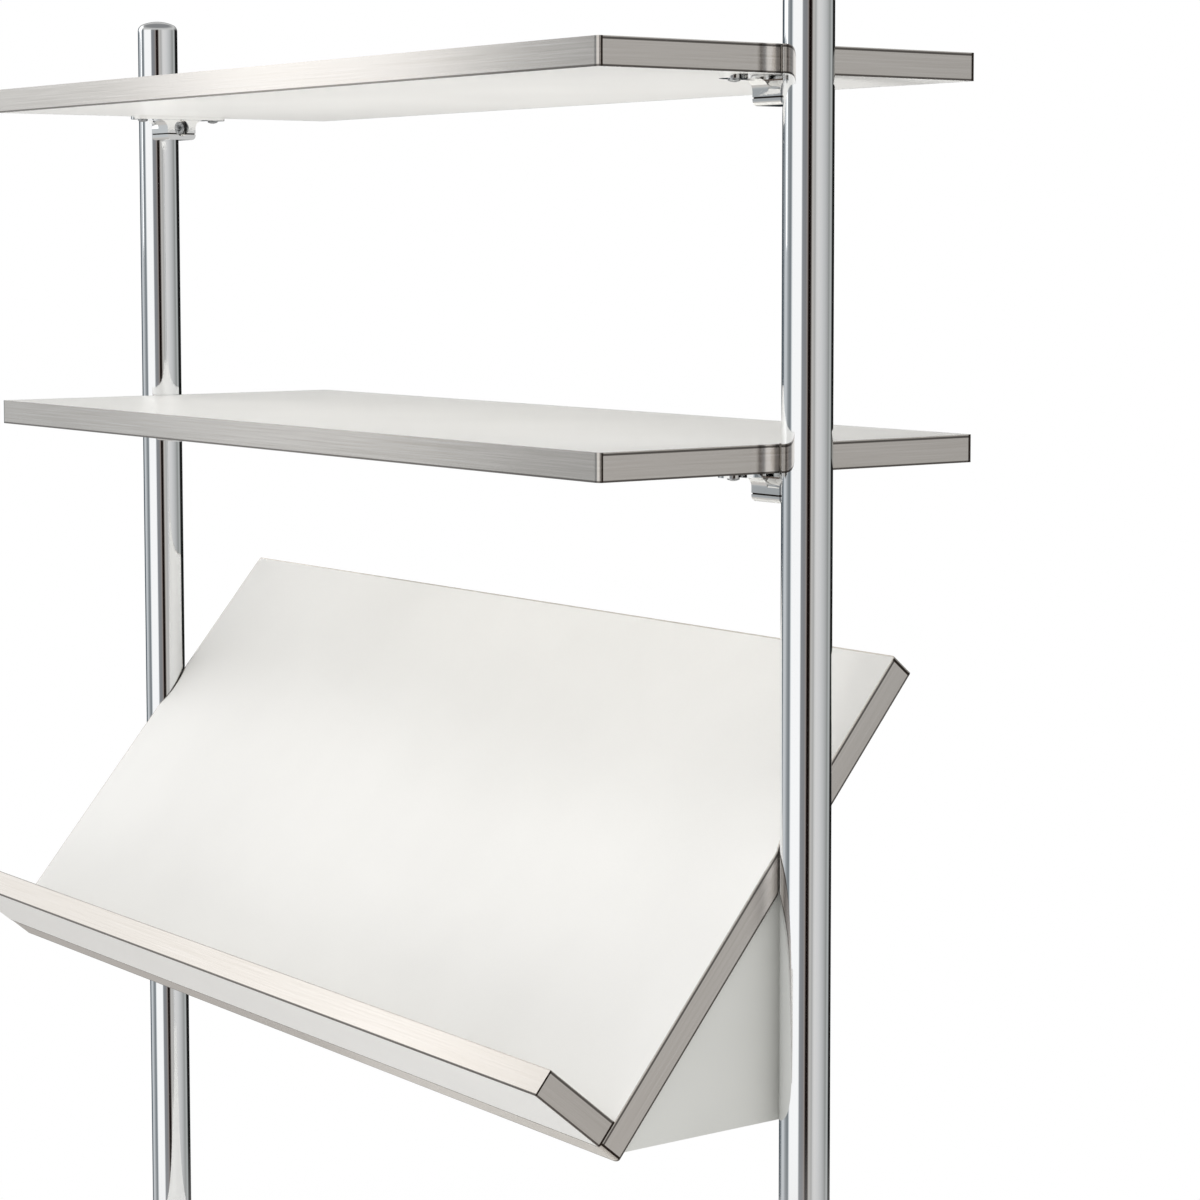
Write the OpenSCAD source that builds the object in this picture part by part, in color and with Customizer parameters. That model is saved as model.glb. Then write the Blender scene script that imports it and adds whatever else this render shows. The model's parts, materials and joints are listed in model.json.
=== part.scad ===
// Free-standing display shelving unit. Two chrome tube posts carry flat shelves on cast brackets
// and one tilted display shelf with a front lip, on two crosswise feet with levelling glides.
// X runs along the shelves, Y from front to back and Z up from the floor.
// The origin is on the floor under the middle of the unit. All sizes are in millimetres.

/* [Shelves] */
// Length of every shelf
shelf_len = 800; // [600:10:1000]
// Depth of a flat shelf, front to back
shelf_depth = 300; // [240:10:380]
// Thickness of every board
board_t = 18; // [16:1:22]
// Thickness of the steel band round every edge
band_t = 1; // [0.6:0.1:1.4]
// Radius of the outside corners of a shelf
corner_r = 2; // [1.6:0.2:6]
// Distance from the top of the posts down to the top of the highest shelf
top_drop = 60; // [40:5:100]
// Distance from the highest shelf down to the second one
shelf_pitch = 245; // [220:5:290]
// Top of the third flat shelf, under the tilted one
shelf_3_z = 470; // [400:5:560]
// Top of the lowest flat shelf
shelf_4_z = 190; // [150:5:260]

/* [Posts] */
// Outside diameter of a post
post_d = 32; // [28:1:35]
// Wall of the post tube
post_wall = 2; // [1.5:0.25:3]
// Distance from the end of a shelf to the axis of its post
post_out = 12.7; // [11:0.1:15]
// Top of the post caps
post_top = 1500; // [1480:5:1600]
// Height of the domed cap on a post
cap_rise = 8; // [7:0.5:12]
// Radius of the rounded edge of the cap
cap_edge_r = 6; // [4:0.5:6.5]
// Length of the cap's plug inside the tube
cap_plug_len = 20; // [10:1:40]
// Length of the threaded plug in the foot of a post
post_plug_len = 24; // [20:1:40]

/* [Notches] */
// Gap between a post and the wall of the notch that it stands in
notch_gap = 1.2; // [0.8:0.1:4]
// Radius of the rounded mouth of a notch
notch_mouth_r = 3; // [2:0.5:8]

/* [Brackets] */
// Distance between the two wood screws of a bracket
screw_pitch = 64; // [56:1:84]
// Width of the flange, and of its round ends
flange_w = 19; // [14:0.5:22]
// Thickness of the flange
flange_t = 3; // [2.5:0.25:4]
// Distance from the end of a shelf to the outer edge of the flange
flange_in = 10.5; // [9.5:0.25:14]
// Width of the flange's slots for the wood screws, open towards the post
slot_w = 6.5; // [4.5:0.25:7]
// Width of the body, front to back
body_w = 25.4; // [22:0.2:28]
// Thickness of the coved block of the body
body_t = 15.5; // [12:0.25:18]
// Height of the whole bracket under the shelf
body_h = 19; // [18:0.5:24]
// Radius of the coves between the block and the flange, and of the neck's shoulders
cove_r = 7.2; // [4:0.2:8]
// How far the neck reaches from the block to the sides of the post
neck_len = 11.5; // [8:0.25:13]
// Radius of the rounded lower edges of the body
body_edge_r = 3.5; // [1.5:0.25:4]
// Depth of the line above the lower edges
groove_d = 0.9; // [0.3:0.1:1.2]
// Height of that line
groove_h = 0.9; // [0.5:0.1:1.2]
// Distance from the lower edge of the body to that line
groove_up = 4.4; // [4:0.2:6]
// Depth of the clamp screw's axis under the shelf
clamp_drop = 9.5; // [9:0.25:11]

/* [Tilted shelf] */
// Angle between the tilted shelf and the floor
tilt = 50; // [40:1:58]
// Depth of the tilted board, measured up its slope
tilt_depth = 365; // [330:5:380]
// Distance from the second shelf down to the lower front edge of the tilted board
tilt_drop = 419; // [395:2:443]
// Height of the lip, square to the board
lip_h = 62; // [30:1:70]
// Thickness of the lip
lip_t = 18; // [16:1:22]
// Number of screws that hold the lip
lip_screws_n = 5; // [3:1:9]
// Height of the lower edge of a gusset above the lower edge of the board
gusset_lift = 4; // [2:1:20]
// Distance from the post's axis to the rear edge of a gusset
gusset_back = 15; // [10:1:20]
// Length of the blunt ends of a gusset's corners
gusset_nose = 6; // [4:1:10]
// Distance from an end of a gusset's flange to its nearest wood screw
gusset_margin = 18; // [12:1:30]
// Height of the lower screw into the post above the gusset's lower edge
gusset_screw_up = 24; // [16:1:32]
// Distance from the ends of the shelf to the nearest screw of the lip
lip_screw_in = 90; // [50:5:140]
// Thickness of the gusset sheet
gusset_t = 3; // [2:0.5:4]
// Width of the gusset's folded flange
gusset_flange_w = 22; // [18:1:30]
// Number of wood screws in each gusset flange
gusset_screws_n = 3; // [2:1:5]
// Distance between the two screws that hold a gusset to its post
gusset_screw_pitch = 90; // [60:5:110]

/* [Feet] */
// Length of a foot, front to back
foot_len = 400; // [392:4:520]
// Width of a foot
foot_w = 50; // [44:1:60]
// Height of a foot's tube
foot_h = 25; // [25:1:35]
// Wall of a foot's tube
foot_wall = 2; // [1.5:0.25:3]
// Radius of the long edges of a foot
foot_edge_r = 3; // [1:0.5:6]
// Thickness of an end cap outside the tube
foot_cap_t = 3; // [2:0.5:6]
// Length of an end cap's plug inside the tube
foot_plug_len = 12; // [8:1:20]
// Distance from the end of a foot to the axis of its glide
glide_in = 30; // [26:1:60]

/* [Glides] */
// Diameter of a glide's pad
pad_d = 30; // [24:1:36]
// Height of the pad
pad_h = 6; // [4:0.5:9]
// Width of the hexagon over the pad, across its flats
hex_af = 13; // [12:0.5:15]
// Height of that hexagon
hex_h = 4; // [3:0.5:5]
// How far a glide can be screwed up from where it stands
glide_travel = 8; // [4:0.5:8]

/* [Fasteners] */
// Diameter of the wood screws
wood_d = 3.5; // [3:0.25:4]
// Diameter of a wood screw's head
wood_head_d = 8; // [7:0.25:9]
// Height of that head
wood_head_h = 2.2; // [1.8:0.1:2.8]
// Depth that a wood screw goes into the board
wood_deep = 12; // [8:1:14]
// Diameter of the machine screws into the posts
clamp_d = 6; // [5:0.5:7]
// Diameter of their heads
clamp_head_d = 10; // [9:0.5:11]
// Height of their heads
clamp_head_h = 6; // [5:0.5:6.5]
// Length of the shanks in the brackets
clamp_len = 22; // [19:1:24]
// Length of the shanks in the gussets
gusset_clamp_len = 14; // [10:1:18]
// Diameter of the counterbore for the head
counterbore_d = 13; // [11.5:0.25:14]
// Depth of the counterbore
counterbore_h = 11; // [7:0.5:12]
// Diameter of a threaded insert in a post
insert_d = 9; // [8.5:0.25:10]
// Length of a threaded insert, inside the post
insert_len = 12; // [10:1:13]
// Diameter of an insert's flange
insert_flange_d = 12; // [11.5:0.25:12.5]
// Thickness of an insert's flange
insert_flange_t = 1; // [0.8:0.1:1.2]
// Diameter of the lip's screws
lip_screw_d = 4; // [3.5:0.25:5]
// Length of the lip's screws
lip_screw_len = 50; // [40:1:55]
// Diameter of the bolt between a foot and its post
bolt_d = 10; // [8:1:12]
// Length of that bolt under its head
bolt_len = 22; // [16:1:22]
// Diameter of a glide's stud
stud_d = 8; // [7:0.5:9]
// Diameter of the threaded insert round a stud
stud_insert_d = 11; // [10.5:0.5:13]
// Reach of that insert inside a foot
stud_insert_len = 14; // [8:1:14]
// Thickness of its flange under the foot
stud_insert_flange_t = 1; // [0.6:0.1:1.5]
// Width of its flange beyond the insert
stud_insert_rim = 2; // [1:0.25:3]
// Room round the head of a foot's bolt for its key
key_room = 2; // [1:0.5:4]

/* [Clearances] */
// Gap round a screw or stud in its thread
thread_gap = 0.05; // [0.02:0.01:0.09]
// Gap round an insert or plug in its hole
fit_gap = 0.1; // [0.05:0.01:0.2]
// Gap between a bracket's saddle and the post
saddle_gap = 0.2; // [0.1:0.05:0.3]
// Gap round a screw where it passes through freely
pass_gap = 0.3; // [0.2:0.05:0.5]
// Gap between the lip and the tilted board
lip_gap = 0.3; // [0.2:0.1:1]
// Gap left under a foot when its glides are screwed right up
glide_gap = 0.5; // [0.3:0.1:1]

/* [Hidden] */
$fn = 96;
past = 1;                                  // how far a cutting shape runs past what it cuts
arc_lap = 0.05;                            // how far the arcs of a notch cross where they meet
shelf_1_z = post_top - top_drop;           // tops of the two highest shelves
shelf_2_z = shelf_1_z - shelf_pitch;
tilt_z = shelf_2_z - tilt_drop;            // lower front edge of the tilted board
end_x = shelf_len / 2;                     // end plane of every shelf
post_x = end_x + post_out;                 // axis of a post
post_r = post_d / 2;
bore_r = post_r - post_wall;
near_x = post_x - post_r;                  // side of a post that faces the shelves
foot_lift = pad_h + hex_h + glide_travel + glide_gap + stud_insert_flange_t;   // underside of a foot
foot_top = foot_lift + foot_h;
tube_top = post_top - cap_rise;
notch_r = post_r + notch_gap;
mouth_y = sqrt(pow(notch_r + notch_mouth_r, 2) - pow(post_out + notch_mouth_r, 2));
block_out_x = end_x - flange_in;           // outer face of a bracket's block and flange
block_in_x = block_out_x - body_t;
flange_x = block_out_x - flange_w / 2;     // middle of a flange, and its line of screws
insert_gap = 0.1;                          // play between an insert's flange and what it carries
seat_x = near_x - insert_flange_t - insert_gap;   // face that rests on the insert flanges
head_x = block_in_x + counterbore_h;       // seat of a clamp screw's head in a bracket
flat_tops = [shelf_1_z, shelf_2_z, shelf_3_z, shelf_4_z];

// Tilted shelf: a point of its end profile, from its place up the slope and out of the board
function on_tilt(up, out) = [-shelf_depth / 2 + up * cos(tilt) - out * sin(tilt),
                             tilt_z + up * sin(tilt) + out * cos(tilt)];
tilt_low = on_tilt(0, -board_t);           // lower rear edge of the tilted board
gusset_low = tilt_low[1] + gusset_lift;
gusset_front = tilt_low[0] + gusset_lift / tan(tilt);
gusset_top = tilt_low[1] + (gusset_back - tilt_low[0]) * tan(tilt);
gusset_slope = (gusset_back - tilt_low[0]) / cos(tilt);   // length of the gusset up the slope
gusset_x = seat_x - gusset_t;              // inner face of a gusset's web
gusset_screw_z = gusset_low + gusset_screw_up;   // lower screw into the post
lip_head_r = lip_screw_d;                  // a countersunk head is twice as wide as its shank
stud_top = foot_lift + stud_insert_len;    // top of a glide's stud above the floor
stud_insert_flange_d = stud_insert_d + 2 * stud_insert_rim;
glide_y = foot_len / 2 - glide_in;
bolt_head_d = 1.6 * bolt_d;
bolt_head_h = bolt_d;
access_d = bolt_head_d + 2 * key_room;     // hole under a foot for the bolt's head and its key
gusset_screw_levels = [gusset_screw_z, gusset_screw_z + gusset_screw_pitch];
insert_levels = concat([for (top = flat_tops) top - board_t - clamp_drop], gusset_screw_levels);
steel = "silver";
chrome = "gainsboro";
laminate = "whitesmoke";
zinc = "darkgray";

// Repeats its children on the left and the right, as mirror images
module both_ends() {
    children();
    mirror([1, 0, 0]) children();
}

// Keeps its children on the right for side 1, and mirrors them to the left for side -1
module at_side(side) {
    if (side > 0) children();
    else mirror([1, 0, 0]) children();
}

// Plan of the notch round the right post, grown by inset, which the edge band fills
module notch_plan(inset = 0) {
    wall_r = notch_r + inset;
    mouth_r = notch_mouth_r - inset + arc_lap;
    mouth_x = end_x - notch_mouth_r;
    meet_x = post_x - (post_x - mouth_x) * wall_r / (notch_r + notch_mouth_r);
    translate([post_x, 0]) circle(wall_r);
    difference() {
        translate([meet_x, -mouth_y]) square([end_x + past - meet_x, 2 * mouth_y]);
        for (side = [-1, 1]) translate([mouth_x, side * mouth_y]) circle(mouth_r);
    }
}

// Rectangle about the origin with rounded corners
module round_rect(len, wide, r) {
    square([len - 2 * r, wide], center = true);
    square([len, wide - 2 * r], center = true);
    for (x = [-1, 1], y = [-1, 1]) translate([x * (len / 2 - r), y * (wide / 2 - r)]) circle(r);
}

// Plan of a flat shelf, drawn in from its edges by inset
module shelf_plan(inset = 0) {
    difference() {
        round_rect(shelf_len - 2 * inset, shelf_depth - 2 * inset, corner_r - inset);
        both_ends() notch_plan(inset);
    }
}

// Places a wood screw's axis at each of a bracket's two screws, right side
module at_bracket_screws() {
    for (side = [-1, 1]) translate([flange_x, side * screw_pitch / 2, 0]) children();
}

// Pan-head wood screw that points up, with its head's seat at the origin
module wood_screw(seat_to_board) {
    cross_w = wood_head_h * 0.4;
    cross_l = wood_head_d * 0.55;
    cylinder(h = seat_to_board + wood_deep - wood_d, d = wood_d);
    translate([0, 0, seat_to_board + wood_deep - wood_d]) cylinder(h = wood_d, d1 = wood_d, d2 = wood_d / 4);
    difference() {
        rotate_extrude() intersection() {
            translate([0, wood_head_d - wood_head_h]) circle(wood_head_d);
            translate([0, -wood_head_h]) square([wood_head_d / 2, wood_head_h]);
        }
        for (turn = [0, 90]) rotate(turn)
            translate([-cross_l / 2, -cross_w / 2, -wood_head_h - past]) cube([cross_l, cross_w, past + wood_head_h / 2]);
    }
}

// Socket-head screw that points along +X, with its head's seat at the origin
module clamp_screw(len) {
    socket_af = clamp_head_d / 2;
    rotate([0, 90, 0]) {
        cylinder(h = len, d = clamp_d);
        difference() {
            translate([0, 0, -clamp_head_h]) cylinder(h = clamp_head_h, d = clamp_head_d);
            translate([0, 0, -clamp_head_h - past])
                cylinder(h = past + clamp_head_h / 2, d = socket_af / cos(30), $fn = 6);
        }
    }
}

// Flat shelf's board, with blind holes for its wood screws
module shelf_board(top) {
    color(laminate) difference() {
        translate([0, 0, top - board_t]) linear_extrude(board_t) shelf_plan(band_t);
        both_ends() at_bracket_screws()
            translate([0, 0, top - board_t - past]) cylinder(h = past + wood_deep + fit_gap, d = wood_d + 2 * thread_gap);
    }
}

// Steel band round a flat shelf, into both notches
module shelf_band(top) {
    color(steel) translate([0, 0, top - board_t]) linear_extrude(board_t) difference() {
        shelf_plan(0);
        shelf_plan(band_t);
    }
}

// End view of a bracket's body below its top corners: rounded lower edges with a line above each
module body_profile() {
    half = body_w / 2;
    difference() {
        union() {
            translate([-half, -body_h + body_edge_r]) square([body_w, body_h - body_edge_r - flange_t - cove_r]);
            translate([-half + body_edge_r, -body_h]) square([body_w - 2 * body_edge_r, body_h - flange_t]);
            for (side = [-1, 1]) translate([side * (half - body_edge_r), -body_h + body_edge_r]) circle(body_edge_r);
        }
        for (side = [-1, 1]) translate([side * half, -body_h + groove_up + groove_h / 2])
            square([2 * groove_d, groove_h], center = true);
    }
}

// Block's top corners: coves that spread out to the flange
module coved_top() {
    spread = body_w / 2 + cove_r;
    difference() {
        translate([-spread, -flange_t - cove_r]) square([2 * spread, cove_r]);
        for (side = [-1, 1]) translate([side * spread, -flange_t - cove_r]) circle(cove_r);
    }
}

// Neck's top corners: round shoulders under the flange's level
module round_top() {
    shoulder = body_w / 2 - cove_r;
    translate([-shoulder, -flange_t - cove_r]) square([2 * shoulder, cove_r]);
    for (side = [-1, 1]) translate([side * shoulder, -flange_t - cove_r]) circle(cove_r);
}

// Cast bracket under a flat shelf: flange, coved block and a neck whose saddle hugs the post
module bracket(top, side) {
    color(zinc) at_side(side) translate([0, 0, top - board_t]) difference() {
        union() {
            translate([flange_x, 0, -flange_t]) linear_extrude(flange_t) {
                for (end = [-1, 1]) translate([0, end * screw_pitch / 2]) circle(flange_w / 2);
                square([flange_w, screw_pitch], center = true);
            }
            translate([block_in_x, 0, 0]) rotate([90, 0, 90]) linear_extrude(body_t) {
                body_profile();
                coved_top();
            }
            translate([block_out_x, 0, 0]) rotate([90, 0, 90]) linear_extrude(neck_len) {
                body_profile();
                round_top();
            }
        }
        translate([post_x, 0, -body_h - past]) cylinder(h = body_h + 2 * past, r = post_r + saddle_gap);
        translate([block_in_x - past, 0, -clamp_drop]) rotate([0, 90, 0]) {
            cylinder(h = past + counterbore_h, d = counterbore_d);
            cylinder(h = post_x - block_in_x, d = clamp_d + 2 * pass_gap);
        }
        translate([seat_x, 0, -clamp_drop]) rotate([0, 90, 0])
            cylinder(h = post_r, d = insert_flange_d + 2 * pass_gap);
        for (end = [-1, 1]) translate([flange_x, end * screw_pitch / 2, -flange_t - past]) {
            cylinder(h = flange_t + 2 * past, d = slot_w);
            translate([0, -slot_w / 2, 0]) cube([flange_w, slot_w, flange_t + 2 * past]);
        }
    }
}

// Four wood screws of a flat shelf
module wood_screws(top) {
    color(zinc) both_ends() at_bracket_screws() translate([0, 0, top - board_t - flange_t]) wood_screw(flange_t);
}

// Two clamp screws of a flat shelf
module clamp_screws(top) {
    color(zinc) both_ends() translate([head_x, 0, top - board_t - clamp_drop]) clamp_screw(clamp_len);
}

// Post tube with a hole for each threaded insert
module post(side) {
    color(chrome) at_side(side) difference() {
        translate([post_x, 0, foot_top]) cylinder(h = tube_top - foot_top, r = post_r);
        translate([post_x, 0, foot_top - past]) cylinder(h = tube_top - foot_top + 2 * past, r = bore_r);
        for (level = insert_levels) translate([near_x - past, 0, level]) rotate([0, 90, 0])
            cylinder(h = post_r, d = insert_d + 2 * fit_gap);
    }
}

// Half section of the domed cap: a wide crown arc that runs into a rounded edge
module dome_profile() {
    edge_x = post_r - cap_edge_r;
    crown_r = (pow(edge_x, 2) + pow(cap_rise, 2) - pow(cap_edge_r, 2)) / (2 * (cap_rise - cap_edge_r));
    reach = 2 * crown_r / (crown_r - cap_edge_r);
    intersection() {
        union() {
            translate([edge_x, 0]) circle(cap_edge_r);
            square([edge_x, cap_edge_r]);
            intersection() {
                translate([0, cap_rise - crown_r]) circle(crown_r);
                translate([0, cap_rise - crown_r])
                    polygon([[0, 0], [edge_x * reach, (crown_r - cap_rise) * reach], [0, 2 * crown_r]]);
            }
        }
        square([post_r, cap_rise]);
    }
}

// Domed cap with its plug inside the tube
module post_cap(side) {
    color(chrome) at_side(side) translate([post_x, 0, tube_top]) {
        rotate_extrude() dome_profile();
        translate([0, 0, -cap_plug_len]) cylinder(h = cap_plug_len, r = bore_r - fit_gap);
    }
}

// Threaded plug in the lower end of a post
module post_plug(side) {
    color(zinc) at_side(side) translate([post_x, 0, foot_top]) difference() {
        cylinder(h = post_plug_len, r = bore_r - fit_gap);
        translate([0, 0, -past]) cylinder(h = post_plug_len + 2 * past, d = bolt_d + 2 * thread_gap);
    }
}

// Threaded inserts of one post, each with its flange on the outside
module post_inserts(side) {
    color(zinc) at_side(side) for (level = insert_levels) translate([near_x, 0, level]) rotate([0, 90, 0])
        difference() {
            union() {
                cylinder(h = insert_len, d = insert_d);
                translate([0, 0, -insert_flange_t]) cylinder(h = insert_flange_t, d = insert_flange_d);
            }
            translate([0, 0, -insert_flange_t - past])
                cylinder(h = insert_len + insert_flange_t + 2 * past, d = clamp_d + 2 * thread_gap);
        }
}

// Places its children in the tilted shelf's own frame: Y up the slope, Z out of the board's face
module on_slope() {
    translate([0, -shelf_depth / 2, tilt_z]) rotate([tilt, 0, 0]) children();
}

// Tilted slab with upright notches, drawn in from its edges by inset
module tilted_slab(inset, extra) {
    difference() {
        on_slope() translate([0, tilt_depth / 2, -board_t - extra]) linear_extrude(board_t + 2 * extra)
            round_rect(shelf_len - 2 * inset, tilt_depth - 2 * inset, corner_r - inset);
        both_ends() translate([0, 0, tilt_z - tilt_depth]) linear_extrude(3 * tilt_depth) notch_plan(inset);
    }
}

// Places the screws that hold the lip
module at_lip_screws() {
    reach = end_x - lip_screw_in;
    for (i = [0 : lip_screws_n - 1])
        translate([-reach + 2 * reach * i / (lip_screws_n - 1), lip_t / 2, -board_t]) children();
}

// Places the wood screws of the right gusset
module at_gusset_screws() {
    span = gusset_slope - 2 * gusset_margin - 2 * gusset_nose;
    for (i = [0 : gusset_screws_n - 1])
        translate([gusset_x + gusset_t - gusset_flange_w / 2 - gusset_t / 2,
                   gusset_margin + gusset_nose + span * i / (gusset_screws_n - 1), -board_t]) children();
}

// Countersunk lip screw along +Z, with its head's face at the origin
module lip_screw() {
    cylinder(h = lip_screw_len, d = lip_screw_d);
    cylinder(h = lip_head_r / 2, r1 = lip_head_r, r2 = lip_screw_d / 2);
}

// Tilted board, drilled for the lip's screws and the gussets' screws
module tilted_board() {
    color(laminate) difference() {
        tilted_slab(band_t, 0);
        on_slope() at_lip_screws() {
            translate([0, 0, -past]) cylinder(h = board_t + 2 * past, d = lip_screw_d + 2 * fit_gap);
            translate([0, 0, -fit_gap]) cylinder(h = lip_head_r / 2 + fit_gap, r1 = lip_head_r + 2 * fit_gap,
                                                 r2 = lip_screw_d / 2 + fit_gap);
        }
        both_ends() on_slope() at_gusset_screws()
            translate([0, 0, -past]) cylinder(h = past + wood_deep + fit_gap, d = wood_d + 2 * thread_gap);
    }
}

// Steel band round the tilted board
module tilted_band() {
    color(steel) difference() {
        tilted_slab(0, 0);
        tilted_slab(band_t, past);
    }
}

// Lip's slab, drawn in from its ends and its long edges by inset
module lip_slab(inset, extra) {
    on_slope() translate([0, -extra, lip_gap + inset]) translate([-end_x + inset, 0, 0])
        cube([shelf_len - 2 * inset, lip_t + 2 * extra, lip_h - lip_gap - 2 * inset]);
}

// Lip's board, with blind holes for its screws
module lip_board() {
    color(laminate) difference() {
        lip_slab(band_t, 0);
        on_slope() at_lip_screws() cylinder(h = lip_screw_len + fit_gap, d = lip_screw_d + 2 * thread_gap);
    }
}

// Steel band round the lip, drilled where the screws enter it
module lip_band() {
    color(steel) difference() {
        lip_slab(0, 0);
        lip_slab(band_t, past);
        on_slope() at_lip_screws() cylinder(h = lip_screw_len, d = lip_screw_d + 2 * fit_gap);
    }
}

// Countersunk screws from the back of the board into the lip
module lip_screws() {
    color(zinc) on_slope() at_lip_screws() lip_screw();
}

// Folded gusset plate: an upright web beside the post and a flange under the tilted board
module gusset(side) {
    nose_y = gusset_nose;
    color("lightgray") at_side(side) difference() {
        union() {
            translate([gusset_x, 0, 0]) rotate([90, 0, 90]) linear_extrude(gusset_t)
                polygon([[gusset_front + nose_y, gusset_low], [gusset_back, gusset_low],
                         [gusset_back, gusset_top - nose_y * tan(tilt)],
                         [gusset_back - nose_y, gusset_top - nose_y * tan(tilt)],
                         [gusset_front, gusset_low]]);
            on_slope() translate([gusset_x + gusset_t - gusset_flange_w, gusset_nose, -board_t - gusset_t])
                cube([gusset_flange_w, gusset_slope - 2 * gusset_nose, gusset_t]);
        }
        for (level = gusset_screw_levels) translate([gusset_x - past, 0, level]) rotate([0, 90, 0])
            cylinder(h = gusset_t + 2 * past, d = clamp_d + 2 * pass_gap);
        on_slope() at_gusset_screws() translate([0, 0, -gusset_t - past])
            cylinder(h = gusset_t + 2 * past, d = wood_d + 2 * pass_gap);
    }
}

// Wood screws of both gussets
module gusset_wood_screws() {
    color(zinc) both_ends() on_slope() at_gusset_screws() translate([0, 0, -gusset_t]) wood_screw(gusset_t);
}

// Clamp screws of both gussets
module gusset_clamp_screws() {
    color(zinc) both_ends() for (level = gusset_screw_levels)
        translate([gusset_x, 0, level]) clamp_screw(gusset_clamp_len);
}

// Section of a foot's tube
module foot_section(inset = 0) {
    round_rect(foot_w - 2 * inset, foot_h - 2 * inset, foot_edge_r > inset + fit_gap ? foot_edge_r - inset : fit_gap);
}

// Places its children at the front and the back glide of the right foot
module at_glides() {
    for (side = [-1, 1]) translate([post_x, side * glide_y, 0]) children();
}

// Crosswise foot: a flat tube under the post, drilled for its bolt and its two glides
module foot(side) {
    tube_len = foot_len - 2 * foot_cap_t;
    color(chrome) at_side(side) difference() {
        translate([post_x, tube_len / 2, foot_lift + foot_h / 2]) rotate([90, 0, 0])
            linear_extrude(tube_len) difference() {
                foot_section(0);
                foot_section(foot_wall);
            }
        translate([post_x, 0, foot_lift - past]) cylinder(h = foot_wall + 2 * past, d = access_d);
        translate([post_x, 0, foot_top - foot_wall - past])
            cylinder(h = foot_wall + 2 * past, d = bolt_d + 2 * pass_gap);
        at_glides() translate([0, 0, foot_lift - past])
            cylinder(h = foot_wall + 2 * past, d = stud_insert_d + 2 * fit_gap);
    }
}

// Two plastic end caps of a foot
module foot_caps(side) {
    color("dimgray") at_side(side) for (end = [0, 180])
        translate([post_x, 0, foot_lift + foot_h / 2]) rotate([0, 0, end]) {
            translate([0, foot_len / 2, 0]) rotate([90, 0, 0]) linear_extrude(foot_cap_t) foot_section(0);
            translate([0, foot_len / 2 - foot_cap_t, 0]) rotate([90, 0, 0]) linear_extrude(foot_plug_len)
                foot_section(foot_wall + fit_gap);
        }
}

// Bolts from the feet up into the posts' plugs
module foot_bolts() {
    color(zinc) both_ends() translate([post_x, 0, foot_top - foot_wall]) {
        cylinder(h = bolt_len, d = bolt_d);
        difference() {
            translate([0, 0, -bolt_head_h]) cylinder(h = bolt_head_h, d = bolt_head_d);
            translate([0, 0, -bolt_head_h - past])
                cylinder(h = past + bolt_head_h / 2, d = bolt_head_d / 2 / cos(30), $fn = 6);
        }
    }
}

// Threaded inserts in the undersides of the feet
module glide_inserts() {
    color(zinc) both_ends() at_glides() translate([0, 0, foot_lift]) difference() {
        union() {
            cylinder(h = stud_insert_len, d = stud_insert_d);
            translate([0, 0, -stud_insert_flange_t]) cylinder(h = stud_insert_flange_t, d = stud_insert_flange_d);
        }
        translate([0, 0, -2 * stud_insert_flange_t])
            cylinder(h = stud_insert_len + 4 * stud_insert_flange_t, d = stud_d + 2 * thread_gap);
    }
}

// Levelling glide: a stud with a hexagon, on a pad of its own
module glide(side, end) {
    color(zinc) translate([side * post_x, end * glide_y, 0]) {
        translate([0, 0, pad_h]) cylinder(h = hex_h, d = hex_af / cos(30), $fn = 6);
        translate([0, 0, pad_h / 2]) cylinder(h = stud_top - pad_h / 2, d = stud_d);
    }
}

// Round plastic pad with a socket for the stud's foot
module pad(side, end) {
    rim = 1;
    color("dimgray") translate([side * post_x, end * glide_y, 0]) difference() {
        union() {
            cylinder(h = pad_h - rim, d = pad_d);
            translate([0, 0, pad_h - rim]) cylinder(h = rim, d1 = pad_d, d2 = pad_d - 2 * rim);
        }
        translate([0, 0, pad_h / 2]) cylinder(h = pad_h, d = stud_d + 2 * thread_gap);
    }
}

post(-1);  // left_post
post(1);  // right_post
post_cap(-1);  // left_post_cap
post_cap(1);  // right_post_cap
post_plug(-1);  // left_post_plug
post_plug(1);  // right_post_plug
post_inserts(-1);  // left_post_inserts
post_inserts(1);  // right_post_inserts
shelf_board(shelf_1_z);  // shelf_1_board
shelf_band(shelf_1_z);  // shelf_1_edge_band
bracket(shelf_1_z, -1);  // shelf_1_left_bracket
bracket(shelf_1_z, 1);  // shelf_1_right_bracket
wood_screws(shelf_1_z);  // shelf_1_wood_screws
clamp_screws(shelf_1_z);  // shelf_1_clamp_screws
shelf_board(shelf_2_z);  // shelf_2_board
shelf_band(shelf_2_z);  // shelf_2_edge_band
bracket(shelf_2_z, -1);  // shelf_2_left_bracket
bracket(shelf_2_z, 1);  // shelf_2_right_bracket
wood_screws(shelf_2_z);  // shelf_2_wood_screws
clamp_screws(shelf_2_z);  // shelf_2_clamp_screws
shelf_board(shelf_3_z);  // shelf_3_board
shelf_band(shelf_3_z);  // shelf_3_edge_band
bracket(shelf_3_z, -1);  // shelf_3_left_bracket
bracket(shelf_3_z, 1);  // shelf_3_right_bracket
wood_screws(shelf_3_z);  // shelf_3_wood_screws
clamp_screws(shelf_3_z);  // shelf_3_clamp_screws
shelf_board(shelf_4_z);  // shelf_4_board
shelf_band(shelf_4_z);  // shelf_4_edge_band
bracket(shelf_4_z, -1);  // shelf_4_left_bracket
bracket(shelf_4_z, 1);  // shelf_4_right_bracket
wood_screws(shelf_4_z);  // shelf_4_wood_screws
clamp_screws(shelf_4_z);  // shelf_4_clamp_screws
tilted_board();
tilted_band();  // tilted_edge_band
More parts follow.
